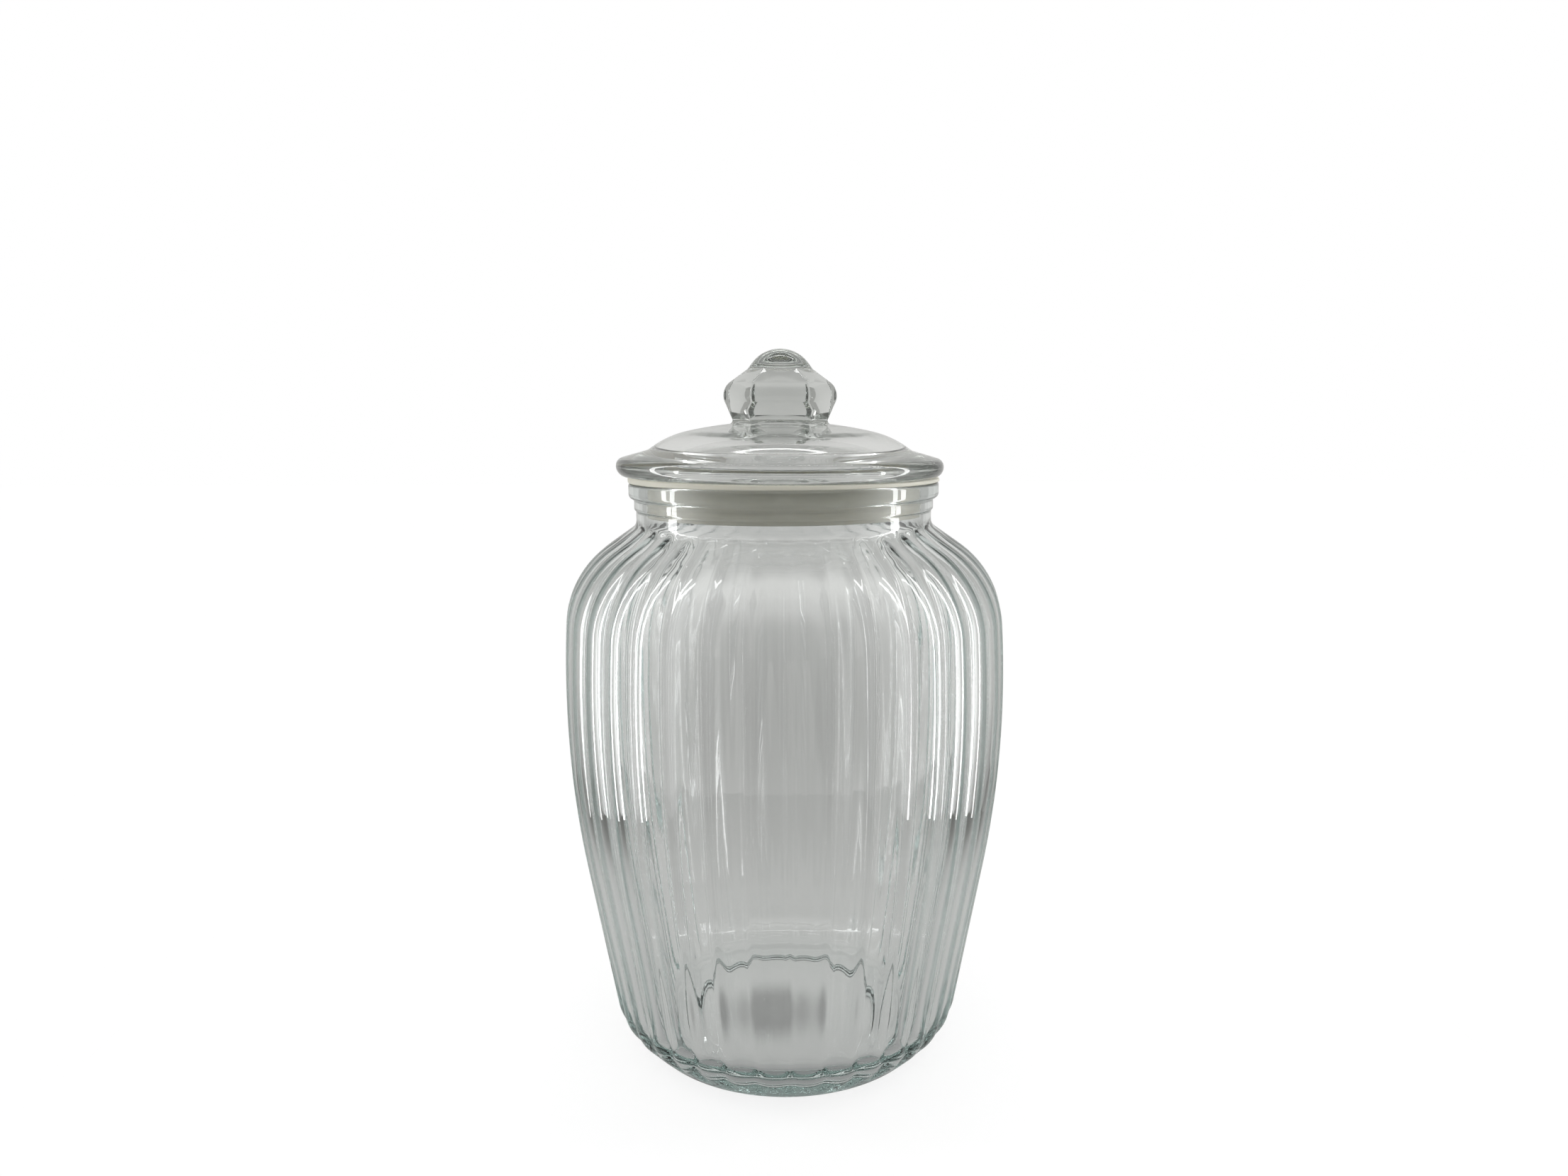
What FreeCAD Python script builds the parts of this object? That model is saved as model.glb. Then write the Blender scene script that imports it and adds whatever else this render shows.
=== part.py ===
import FreeCAD, Part
import math
import os
import Sketcher

# A ribbed glass sweet jar with a loose glass lid and a soft seal ring between the two.
# Millimetres. The jar stands on z = 0 with its axis on +Z, and its front faces -Y.

DIMENSIONS = {
    # jar: outer wall, measured over the crests of the ribs
    "body_diameter": 185.0,
    "belly_height": 154.0,
    "belly_arc": 420.0,
    "taper_lean": 10.2,
    "heel_height": 17.5,
    "heel_arc": 20.0,
    "heel_lean": 45.0,
    "foot_round": 3.0,
    "shoulder_height": 183.0,
    "shoulder_arc": 42.0,
    "shoulder_lean": 55.0,
    # jar: ribs, which run from the root of the neck to just above the foot
    "rib_count": 36.0,
    "rib_depth": 1.7,
    "rib_turn": 1.2,
    "rib_end_height": 4.0,
    "rib_full_height": 8.0,
    "rib_fade": 8.0,
    # jar: neck and mouth
    "neck_diameter": 123.0,
    "neck_fillet": 4.0,
    "bead_diameter": 124.6,
    "bead_low": 229.0,
    "bead_rise": 0.8,
    "lip_diameter": 129.0,
    "lip_low": 233.8,
    "lip_rise": 0.4,
    "lip_top": 240.5,
    "lip_top_round": 1.2,
    "lip_low_round": 2.0,
    "mouth_diameter": 114.6,
    # jar: inside and underside
    "wall": 4.5,
    "floor_height": 9.0,
    "floor_arc": 15.0,
    "foot_ring_inner": 104.0,
    "foot_recess": 2.5,
    # seal ring: a flange under the lid and a ridged skirt in the mouth
    "seal_diameter": 129.4,
    "seal_flange": 2.0,
    "skirt_inner": 109.6,
    "skirt_outer": 113.4,
    "skirt_low": 227.0,
    "ridge_high": 0.5,
    "ridge_step": 2.6,
    # lid: rim, dome and plug
    "lid_diameter": 135.8,
    "rim_height": 247.0,
    "rim_round": 3.5,
    "rim_lean": 16.0,
    "dome_top": 265.8,
    "dome_arc": 170.0,
    "dome_edge_start": 73.6,
    "dome_edge_arc": 40.0,
    "dome_lean": 37.0,
    "dome_thickness": 6.0,
    "plug_outer": 107.0,
    "plug_wall": 4.0,
    "plug_low": 231.0,
    "plug_round": 1.5,
    # lid: knob, solid glass with six facets under a round cap
    "knob_facets": 6.0,
    "knob_diameter": 47.0,
    "knob_height": 275.7,
    "knob_arc": 7.0,
    "knob_low_lean": 24.0,
    "knob_high_lean": 58.0,
    "knob_root": 262.0,
    "facet_low": 262.5,
    "facet_full": 268.0,
    "facet_bow": 0.006,
    "cap_low": 286.0,
    "cap_diameter": 25.8,
    "cap_top": 294.8,
    "cap_arc": 13.5,
    "cap_lean": 65.0,
    # how far the cutting shapes run on past the glass
    "overrun": 1.0,
}

# How many steps each stretch of a lofted shape is built in, from its foot up.
RIB_STEPS = {"heel": 7, "taper": 3, "belly": 5, "shoulder": 6, "slope": 5}
KNOB_STEPS = {"root": 6, "bulge": 6, "top": 2}

doc = FreeCAD.newDocument("candy_jar")
sheet = doc.addObject("Spreadsheet::Sheet", "dims")
for row, (alias, number) in enumerate(DIMENSIONS.items(), start=1):
    sheet.set("A%d" % row, alias)
    sheet.set("B%d" % row, str(number))
    sheet.setAlias("B%d" % row, alias)
doc.recompute()


class Size:
    """A length or ratio from the sheet, with the formula that binds it there."""

    def __init__(self, value, formula):
        self.value = float(value)
        self.formula = formula

    def __float__(self):
        return self.value

    def __add__(self, other):
        return joined(self, "+", other, self.value + float(other))

    def __sub__(self, other):
        return joined(self, "-", other, self.value - float(other))

    def __mul__(self, other):
        return joined(self, "*", other, self.value * float(other))

    def __truediv__(self, other):
        return joined(self, "/", other, self.value / float(other))


def joined(left, sign, right, value):
    return Size(value, "(%s %s %s)" % (formula_of(left), sign, formula_of(right)))


def formula_of(number):
    return number.formula if isinstance(number, Size) else repr(float(number))


def dim(alias):
    return Size(sheet.get(alias), "dims.%s" % alias)


def plain(number):
    return Size(number, repr(float(number)))


def sine(lean):
    return Size(math.sin(math.radians(float(lean))), "sin(%s * 1 deg)" % lean.formula)


def cosine(lean):
    return Size(math.cos(math.radians(float(lean))), "cos(%s * 1 deg)" % lean.formula)


def tangent(lean):
    return Size(math.tan(math.radians(float(lean))), "tan(%s * 1 deg)" % lean.formula)


def other_leg(ratio):
    """The cosine that goes with a sine, or the sine with a cosine."""
    return Size(math.sqrt(1.0 - float(ratio) ** 2), "sqrt(1 - %s ^ 2)" % ratio.formula)


AXIS = BASE = plain(0.0)
LEFT, RIGHT = 1, -1


def turned_body(name, outline):
    """Revolve a closed outline of (radius, height, arc) stops about Z.

    The arc entry shapes the stretch to the next stop. None is straight, and (arc radius, side)
    is an arc whose centre lies LEFT or RIGHT of the way from this stop to the next.
    """
    body = doc.addObject("PartDesign::Body", name)
    sketch = body.newObject("Sketcher::SketchObject", name + "_outline")
    plane = [f for f in body.Origin.OriginFeatures if f.Role == "XZ_Plane"][0]
    sketch.AttachmentSupport = [(plane, "")]
    sketch.MapMode = "FlatFace"
    spots = [FreeCAD.Vector(float(r), float(z), 0) for r, z, _ in outline]
    firsts = []
    for i, (_, _, arc) in enumerate(outline):
        piece = stretch(spots[i], spots[(i + 1) % len(spots)], arc)
        sketch.addGeometry(piece, False)
        starts_here = (piece.StartPoint - spots[i]).Length < (piece.EndPoint - spots[i]).Length
        firsts.append(1 if starts_here else 2)
    for i, (r, z, arc) in enumerate(outline):
        before = (i - 1) % len(spots)
        sketch.addConstraint(
            Sketcher.Constraint("Coincident", before, 3 - firsts[before], i, firsts[i]))
        hold(sketch, "DistanceX", -2, i, firsts[i], r)
        hold(sketch, "DistanceY", -1, i, firsts[i], z)
        if arc is not None:
            number = sketch.addConstraint(Sketcher.Constraint("Radius", i, float(arc[0])))
            sketch.setExpression("Constraints[%d]" % number, arc[0].formula)
    turn = body.newObject("PartDesign::Revolution", name + "_turn")
    turn.Profile = sketch
    turn.ReferenceAxis = (sketch, ["V_Axis"])
    turn.Angle = 360.0
    return body


def stretch(start, end, arc):
    if arc is None:
        return Part.LineSegment(start, end)
    radius, side = float(arc[0]), arc[1]
    chord = end - start
    reach = math.sqrt(max(radius ** 2 - (chord.Length / 2) ** 2, 0.0))
    left = FreeCAD.Vector(-chord.y, chord.x, 0).normalize()
    centre = (start + end) * 0.5 + left * (side * reach)
    circle = Part.Circle(centre, FreeCAD.Vector(0, 0, 1), radius)
    ends = (start, end) if side == LEFT else (end, start)
    return Part.ArcOfCircle(circle, circle.parameter(ends[0]), circle.parameter(ends[1]))


def hold(sketch, kind, axis, piece, vertex, size):
    """Fix one coordinate of a vertex: on the axis itself, or at a distance bound to the sheet."""
    if float(size) == 0.0:
        sketch.addConstraint(Sketcher.Constraint("PointOnObject", piece, vertex, axis))
        return
    number = sketch.addConstraint(Sketcher.Constraint(kind, -1, 1, piece, vertex, float(size)))
    sketch.setExpression("Constraints[%d]" % number, size.formula)


FRONT = -90.0


def lobed_ring(count, joint_radius, middle_radius, height, turn):
    """A closed wire of equal arcs whose joints and middles lie on two circles."""

    def spot(radius, k):
        angle = math.radians(turn + 360.0 * k / count)
        return FreeCAD.Vector(radius * math.cos(angle), radius * math.sin(angle), height)

    arcs = [Part.Arc(spot(joint_radius, k), spot(middle_radius, k + 0.5),
                     spot(joint_radius, k + 1)).toShape() for k in range(count)]
    return Part.Wire(arcs)


def lofted(name, rings):
    piece = doc.addObject("Part::Feature", name)
    piece.Shape = Part.makeLoft(rings, True, False)
    return piece


def joined_solid(name, pieces):
    fuse = doc.addObject("Part::MultiFuse", name)
    fuse.Shapes = pieces
    return fuse


def smooth(share):
    share = min(max(share, 0.0), 1.0)
    return share * share * (3.0 - 2.0 * share)


def spread(low, high, steps):
    """Even stops from low up to, but not at, high."""
    low, high = float(low), float(high)
    return [low + (high - low) * i / steps for i in range(steps)]


# --- jar: the outer line, from its widest point down to the foot ---------------------------
wall = dim("wall")
body_radius = dim("body_diameter") / 2
belly_z, belly_arc = dim("belly_height"), dim("belly_arc")
taper, heel_lean, heel_arc = dim("taper_lean"), dim("heel_lean"), dim("heel_arc")

taper_top_z = belly_z - belly_arc * sine(taper)
taper_top_r = body_radius - belly_arc + belly_arc * cosine(taper)
heel_top_z = dim("heel_height")
heel_top_r = taper_top_r - (taper_top_z - heel_top_z) * tangent(taper)
heel_low_z = heel_top_z - heel_arc * (sine(heel_lean) - sine(taper))
heel_low_r = heel_top_r - heel_arc * (cosine(taper) - cosine(heel_lean))
foot_round = dim("foot_round")
foot_top_z = foot_round - foot_round * sine(heel_lean)
foot_top_r = heel_low_r - (heel_low_z - foot_top_z) * tangent(heel_lean)
foot_low_r = foot_top_r - foot_round * cosine(heel_lean)

# --- jar: the outer line, from its widest point up to the root of the neck -----------------
shoulder_arc, slope = dim("shoulder_arc"), dim("shoulder_lean")
neck_radius = dim("neck_diameter") / 2

shoulder_z = dim("shoulder_height")
shoulder_sine = (shoulder_z - belly_z) / belly_arc
shoulder_cosine = other_leg(shoulder_sine)
shoulder_r = body_radius - belly_arc + belly_arc * shoulder_cosine
slope_z = shoulder_z + shoulder_arc * (sine(slope) - shoulder_sine)
slope_r = shoulder_r - shoulder_arc * (shoulder_cosine - cosine(slope))
fillet_reach = dim("neck_fillet") * tangent(slope / 2)
fillet_top_z = slope_z + (slope_r - neck_radius) / tangent(slope) + fillet_reach
fillet_low_z = fillet_top_z - fillet_reach - fillet_reach * cosine(slope)
fillet_low_r = neck_radius + fillet_reach * sine(slope)


def arc_radius(z, r_start, z_start, sine_start, cosine_start, arc):
    """Radius at height z on an arc that passes its start with the given lean."""
    centre_r = float(r_start) - float(arc) * float(cosine_start)
    centre_z = float(z_start) - float(arc) * float(sine_start)
    return centre_r + math.sqrt(float(arc) ** 2 - (z - centre_z) ** 2)


def crest_radius(z):
    """Radius of the jar over the rib crests, between the foot and the root of the neck."""
    if z > float(slope_z):
        return float(slope_r) - (z - float(slope_z)) * float(tangent(slope))
    if z > float(shoulder_z):
        return arc_radius(z, shoulder_r, shoulder_z, shoulder_sine, shoulder_cosine, shoulder_arc)
    if z > float(taper_top_z):
        return arc_radius(z, body_radius, belly_z, 0.0, 1.0, belly_arc)
    if z > float(heel_top_z):
        return float(heel_top_r) + (z - float(heel_top_z)) * float(tangent(taper))
    if z > float(heel_low_z):
        return arc_radius(z, heel_top_r, heel_top_z, -float(sine(taper)), cosine(taper), heel_arc)
    return float(foot_top_r) + (z - float(foot_top_z)) * float(tangent(heel_lean))


rib_low_z, rib_full_z = float(dim("rib_end_height")), float(dim("rib_full_height"))


def rib_depth(z):
    """Depth of the valleys between the ribs, which fades out at both ends."""
    upper = smooth((float(fillet_low_z) - z) / float(dim("rib_fade")))
    lower = smooth((z - rib_low_z) / (rib_full_z - rib_low_z))
    return float(dim("rib_depth")) * min(upper, lower)


rib_stops = (spread(rib_low_z, heel_top_z, RIB_STEPS["heel"])
             + spread(heel_top_z, taper_top_z, RIB_STEPS["taper"])
             + spread(taper_top_z, shoulder_z, RIB_STEPS["belly"])
             + spread(shoulder_z, slope_z, RIB_STEPS["shoulder"])
             + spread(slope_z, fillet_low_z, RIB_STEPS["slope"]) + [float(fillet_low_z)])
rib_count, first_valley = int(float(dim("rib_count"))), FRONT + float(dim("rib_turn"))
ribbed_wall = lofted("jar_ribbed_wall", [
    lobed_ring(rib_count, crest_radius(z) - rib_depth(z), crest_radius(z), z, first_valley)
    for z in rib_stops])

# --- jar: the plain foot below the ribs, and the neck above them ---------------------------
rib_end_r = foot_top_r + (dim("rib_end_height") - foot_top_z) * tangent(heel_lean)
foot = turned_body("jar_foot", [
    (AXIS, dim("rib_end_height"), None),
    (rib_end_r, dim("rib_end_height"), None),
    (foot_top_r, foot_top_z, (foot_round, RIGHT)),
    (foot_low_r, BASE, None),
    (AXIS, BASE, None),
])

lip_radius, lip_top = dim("lip_diameter") / 2, dim("lip_top")
lip_low, bead_radius = dim("lip_low"), dim("bead_diameter") / 2
lip_top_round, lip_low_round = dim("lip_top_round"), dim("lip_low_round")
core_r, core_z = neck_radius - wall / 2, fillet_low_z - wall / 2
neck = turned_body("jar_neck", [
    (AXIS, lip_top, None),
    (lip_radius - lip_top_round, lip_top, (lip_top_round, RIGHT)),
    (lip_radius, lip_top - lip_top_round, None),
    (lip_radius, lip_low + lip_low_round, (lip_low_round, RIGHT)),
    (lip_radius - lip_low_round, lip_low, None),
    (bead_radius, lip_low - dim("lip_rise"), None),
    (bead_radius, dim("bead_low") + dim("bead_rise"), None),
    (neck_radius, dim("bead_low"), None),
    (neck_radius, fillet_top_z, (dim("neck_fillet"), LEFT)),
    (fillet_low_r, fillet_low_z, None),
    (core_r, fillet_low_z, None),
    (core_r, core_z, None),
    (AXIS, core_z, None),
])

# --- jar: the hollow, one wall inside the crests, and the recess under the foot ------------
mouth_radius, overrun = dim("mouth_diameter") / 2, dim("overrun")
inner_slope_r = slope_r - wall * cosine(slope)
inner_slope_z = slope_z - wall * sine(slope)
inner_fillet = dim("neck_fillet") + wall
inner_reach = inner_fillet * tangent(slope / 2)
inner_top_z = inner_slope_z + (inner_slope_r - mouth_radius) / tangent(slope) + inner_reach
inner_taper_r = taper_top_r - wall * cosine(taper)
inner_taper_z = taper_top_z + wall * sine(taper)
floor_z, floor_arc = dim("floor_height"), dim("floor_arc")
floor_top_z = floor_z + floor_arc - floor_arc * sine(taper)
floor_top_r = inner_taper_r - (inner_taper_z - floor_top_z) * tangent(taper)
hollow = turned_body("jar_hollow", [
    (AXIS, lip_top + overrun, None),
    (mouth_radius, lip_top + overrun, None),
    (mouth_radius, inner_top_z, (inner_fillet, LEFT)),
    (mouth_radius + inner_reach * sine(slope),
     inner_top_z - inner_reach - inner_reach * cosine(slope), None),
    (inner_slope_r, inner_slope_z, (shoulder_arc - wall, RIGHT)),
    (shoulder_r - wall * shoulder_cosine, shoulder_z - wall * shoulder_sine,
     (belly_arc - wall, RIGHT)),
    (inner_taper_r, inner_taper_z, None),
    (floor_top_r, floor_top_z, (floor_arc, RIGHT)),
    (floor_top_r - floor_arc * cosine(taper), floor_z, None),
    (AXIS, floor_z, None),
])

ring_radius, recess_top = dim("foot_ring_inner") / 2, dim("foot_recess")
recess = turned_body("jar_recess", [
    (AXIS, recess_top, None),
    (ring_radius - recess_top * 2, recess_top, None),
    (ring_radius, BASE, None),
    (ring_radius, BASE - overrun, None),
    (AXIS, BASE - overrun, None),
])

jar = doc.addObject("Part::Cut", "jar")
jar.Base = joined_solid("jar_blank", [ribbed_wall, foot, neck])
jar.Tool = joined_solid("jar_voids", [hollow, recess])

# --- seal ring -----------------------------------------------------------------------------
seat_z = lip_top + dim("seal_flange")
skirt_outer, skirt_low = dim("skirt_outer") / 2, dim("skirt_low")
skirt_inner, seal_radius = dim("skirt_inner") / 2, dim("seal_diameter") / 2
ridge, step = dim("ridge_high"), dim("ridge_step")
seal = turned_body("seal", [
    (skirt_inner, seat_z, None),
    (seal_radius, seat_z, None),
    (seal_radius, lip_top, None),
    (skirt_outer, lip_top, None),
    (skirt_outer, skirt_low + step * 2 + ridge, None),
    (skirt_outer + ridge, skirt_low + step * 2, None),
    (skirt_outer, skirt_low + step * 2 - ridge, None),
    (skirt_outer, skirt_low + step + ridge, None),
    (skirt_outer + ridge, skirt_low + step, None),
    (skirt_outer, skirt_low + step - ridge, None),
    (skirt_outer, skirt_low, None),
    (skirt_inner, skirt_low, None),
])

# --- lid: rim, dome and plug ---------------------------------------------------------------
dome_top, dome_arc, edge_arc = dim("dome_top"), dim("dome_arc"), dim("dome_edge_arc")
edge_r, lean, rim_lean = dim("dome_edge_start") / 2, dim("dome_lean"), dim("rim_lean")
edge_sine = edge_r / dome_arc
edge_cosine = other_leg(edge_sine)
edge_z = dome_top - dome_arc + dome_arc * edge_cosine
dome_low_r = edge_r + edge_arc * (sine(lean) - edge_sine)
dome_low_z = edge_z - edge_arc * (edge_cosine - cosine(lean))

lid_radius, rim_z, rim_round = dim("lid_diameter") / 2, dim("rim_height"), dim("rim_round")
rim_r = lid_radius - rim_round + rim_round * sine(rim_lean)
rim_top_z = rim_z + rim_round * cosine(rim_lean)
rise = rim_top_z + (rim_r - dome_low_r) * tangent(rim_lean)
corner_r = dome_low_r + (dome_low_z - rise) / (tangent(lean) - tangent(rim_lean))
corner_z = rim_top_z + (rim_r - corner_r) * tangent(rim_lean)

thickness, plug_radius = dim("dome_thickness"), dim("plug_outer") / 2
plug_low, plug_round = dim("plug_low"), dim("plug_round")
plug_inner = plug_radius - dim("plug_wall")
under_r = dome_low_r - thickness * sine(lean)
under_z = dome_low_z - thickness * cosine(lean)
plate = turned_body("lid_plate", [
    (AXIS, dome_top, (dome_arc, RIGHT)),
    (edge_r, edge_z, (edge_arc, RIGHT)),
    (dome_low_r, dome_low_z, None),
    (corner_r, corner_z, None),
    (rim_r, rim_top_z, (rim_round, RIGHT)),
    (lid_radius, rim_z, (rim_z - seat_z, RIGHT)),
    (lid_radius - (rim_z - seat_z), seat_z, None),
    (plug_radius, seat_z, None),
    (plug_radius, plug_low + plug_round, (plug_round, RIGHT)),
    (plug_radius - plug_round, plug_low, None),
    (plug_inner + plug_round, plug_low, (plug_round, RIGHT)),
    (plug_inner, plug_low + plug_round, None),
    (plug_inner, under_z - (plug_inner - under_r) * tangent(lean), None),
    (under_r, under_z, (edge_arc - thickness, LEFT)),
    (edge_r - thickness * edge_sine, edge_z - thickness * edge_cosine,
     (dome_arc - thickness, LEFT)),
    (AXIS, dome_top - thickness, None),
])

# --- lid: the knob, six-sided where it bulges and round where it meets the dome ------------
knob_radius, knob_z = float(dim("knob_diameter") / 2), float(dim("knob_height"))
knob_arc, cap_low = float(dim("knob_arc")), dim("cap_low")
facets, root_z = int(float(dim("knob_facets"))), float(dim("knob_root"))
low_lean, high_lean = dim("knob_low_lean"), dim("knob_high_lean")
bulb_low_z = knob_z - knob_arc * float(sine(low_lean))
bulb_high_z = knob_z + knob_arc * float(sine(high_lean))


def knob_edge_radius(z):
    """Radius of the knob at the joints of its facets."""
    centre = knob_radius - knob_arc
    if z < bulb_low_z:
        return centre + knob_arc * float(cosine(low_lean)) - (bulb_low_z - z) * float(tangent(low_lean))
    if z > bulb_high_z:
        return centre + knob_arc * float(cosine(high_lean)) - (z - bulb_high_z) * float(tangent(high_lean))
    return centre + math.sqrt(knob_arc ** 2 - (z - knob_z) ** 2)


def facet_share(z):
    """Radius in the middle of a facet as a share of the radius at its joints."""
    low, full = float(dim("facet_low")), float(dim("facet_full"))
    nearly_flat = math.cos(math.pi / facets) + float(dim("facet_bow"))
    return 1.0 + (nearly_flat - 1.0) * smooth((z - low) / (full - low))


knob_stops = (spread(root_z, bulb_low_z, KNOB_STEPS["root"])
              + spread(bulb_low_z, bulb_high_z, KNOB_STEPS["bulge"])
              + spread(bulb_high_z, cap_low, KNOB_STEPS["top"]) + [float(cap_low)])
knob = lofted("lid_knob", [
    lobed_ring(facets, knob_edge_radius(z), knob_edge_radius(z) * facet_share(z), z,
               FRONT + 180.0 / facets)
    for z in knob_stops])

cap_top, cap_radius = dim("cap_top"), dim("cap_diameter") / 2
cap_arc, cap_lean = dim("cap_arc"), dim("cap_lean")
cap = turned_body("lid_knob_cap", [
    (AXIS, cap_top, (cap_arc, RIGHT)),
    (cap_arc * sine(cap_lean), cap_top - cap_arc + cap_arc * cosine(cap_lean), None),
    (cap_radius, cap_low, None),
    (AXIS, cap_low, None),
])
lid = joined_solid("lid", [plate, knob, cap])

# --- check and write -----------------------------------------------------------------------
doc.recompute()
for item in doc.Objects:
    if "Invalid" in item.State or "Error" in item.State:
        raise RuntimeError("%s did not build: %s" % (item.Name, item.State))

os.makedirs("parts", exist_ok=True)
for piece in (jar, seal, lid):
    piece.Label = piece.Name
    shape = piece.Shape
    if shape.isNull() or not shape.isValid() or len(shape.Solids) != 1:
        raise RuntimeError("%s is not one valid solid" % piece.Label)
    shape.exportStep("parts/%s.step" % piece.Label)
    box = shape.BoundBox
    print("%s: volume %.0f mm3, x %.1f to %.1f, z %.1f to %.1f"
          % (piece.Label, shape.Volume, box.XMin, box.XMax, box.ZMin, box.ZMax))
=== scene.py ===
import math

import bmesh
import bpy
from mathutils import Matrix, Vector


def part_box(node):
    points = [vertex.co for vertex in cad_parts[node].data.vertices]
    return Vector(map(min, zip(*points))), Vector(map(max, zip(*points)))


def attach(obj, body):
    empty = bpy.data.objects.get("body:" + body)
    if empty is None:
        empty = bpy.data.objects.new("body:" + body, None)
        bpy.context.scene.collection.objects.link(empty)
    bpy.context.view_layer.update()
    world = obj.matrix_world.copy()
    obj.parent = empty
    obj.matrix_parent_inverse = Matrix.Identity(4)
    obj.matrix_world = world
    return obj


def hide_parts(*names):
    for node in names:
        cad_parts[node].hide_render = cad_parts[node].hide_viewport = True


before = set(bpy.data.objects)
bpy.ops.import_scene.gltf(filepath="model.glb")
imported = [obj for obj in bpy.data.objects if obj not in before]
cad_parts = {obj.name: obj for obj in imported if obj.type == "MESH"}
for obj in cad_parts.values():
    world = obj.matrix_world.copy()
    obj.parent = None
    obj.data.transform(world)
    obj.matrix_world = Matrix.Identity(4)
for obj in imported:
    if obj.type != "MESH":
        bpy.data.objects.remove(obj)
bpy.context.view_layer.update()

# A ribbed glass sweet jar, its loose glass lid and the soft ring that seals the two.
# Outlines are drawn in millimetres from the frame's own boxes, and MM turns them to metres.
MM = 0.001
_, jar_high = (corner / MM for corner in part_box("jar"))
seal_low, seal_high = (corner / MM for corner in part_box("seal"))
lid_low, lid_high = (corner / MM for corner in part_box("lid"))

# The jar: its body over the ribs, from the belly down to the foot and up to the lip.
BODY_R = 92.5
BELLY_Z, BELLY_ARC = 154.0, 420.0
TAPER = 10.2
HEEL_Z, HEEL_ARC, HEEL_LEAN = 17.5, 20.0, 45.0
FOOT_ROUND, FOOT_RING, FOOT_RECESS, RECESS_LEAN, RING_ROUND = 3.0, 50.0, 2.5, 38.0, 1.5
SHOULDER_Z, SHOULDER_ARC, SLOPE = 183.0, 42.0, 55.0
NECK_R, NECK_FILLET = 61.5, 4.0
BEAD_Z, BEAD_R, BEAD_STEP, BEAD_LEAN, BEAD_ROUND = 229.0, 62.3, 0.6, 50.0, 1.2
LIP_Z, LIP_R, LIP_STEP, LIP_LEAN, LIP_ROUND, LIP_EDGE = 233.8, 64.5, 0.7, 75.0, 2.1, 1.2
MOUTH_R, MOUTH_EDGE = 57.3, 1.0
WALL, FLOOR_Z, FLOOR_ARC, FLAT_GRAIN = 4.5, 9.0, 15.0, 20.0

# Ribs: the outside is scooped between sharp valleys, and the inside sags after it by a share of that.
RIBS, RIB_DEPTH, RIB_TURN, RIB_STEPS = 36, 1.7, 1.2, 12
RIB_END_Z, RIB_FULL_Z, RIB_FADE, RIB_ROOT = 4.0, 8.0, 6.0, 1.0
INNER_SHARE, INNER_LOW_Z, INNER_FADE = 0.55, 12.0, 16.0

# The seal: a flange on the lip, and a skirt with two ridges. SEAL_GAP keeps it clear of both glasses.
SEAL_R, SKIRT_R, SKIRT_INNER, SEAL_STEPS = 64.7, 56.7, 54.8, 192
SEAL_GAP, SEAL_EDGE, SEAL_INNER_EDGE = 0.05, 0.5, 0.3
RIDGE, RIDGE_STEP, RIDGE_LEAN = 0.5, 2.6, 45.0

# The lid: rim, dome, the plug under it, and the knob with its cap. Each FILLET eases a hollow corner.
LID_STEPS = 288
RIM_R, RIM_Z, RIM_ROUND, RIM_LEAN, RIM_FILLET = 67.9, 247.0, 3.5, 16.0, 2.5
DOME_TOP, DOME_ARC, DOME_EDGE_R, DOME_EDGE_ARC, DOME_LEAN = 265.4, 170.0, 36.8, 40.0, 37.0
DOME_WALL, DOME_FILLET = 6.0, 2.0
PLUG_R, PLUG_WALL, PLUG_ROUND, PLUG_FILLET = 53.5, 4.0, 1.5, 0.5
KNOB_R, KNOB_Z, KNOB_ARC, KNOB_ROOT_R, KNOB_FILLET = 23.5, 275.7, 7.0, 19.5, 1.5
KNOB_LOW_LEAN, KNOB_HIGH_LEAN = 24.0, 54.0
CAP_ARC, CAP_FACING, CAP_FILLET, CAP_SIDE_Z, CAP_FOOT_Z = 14.6, 36.0, 0.4, 288.8, 286.4
CAP_DIP, CAP_SPREAD = 1.7, 1.2

# Six hollow flats on the knob. Those at the front and back widen below its bulge.
FACET_HALF, FACET_SPREAD = math.radians(30.0), math.radians(9.0)
FACET_SPREAD_Z, FACET_SPREAD_FADE, FACET_MARGIN = 273.0, 4.0, 0.1
FACET_LOW_Z, FACET_FULL_Z, FACET_TOP_Z, FACET_HOLLOW = 262.5, 266.0, 281.0, 0.03

# The loose lid lies a little askew on its soft ring, lower on the right.
LID_TILT, LID_SHIFT = math.radians(0.5), -1.5


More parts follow.
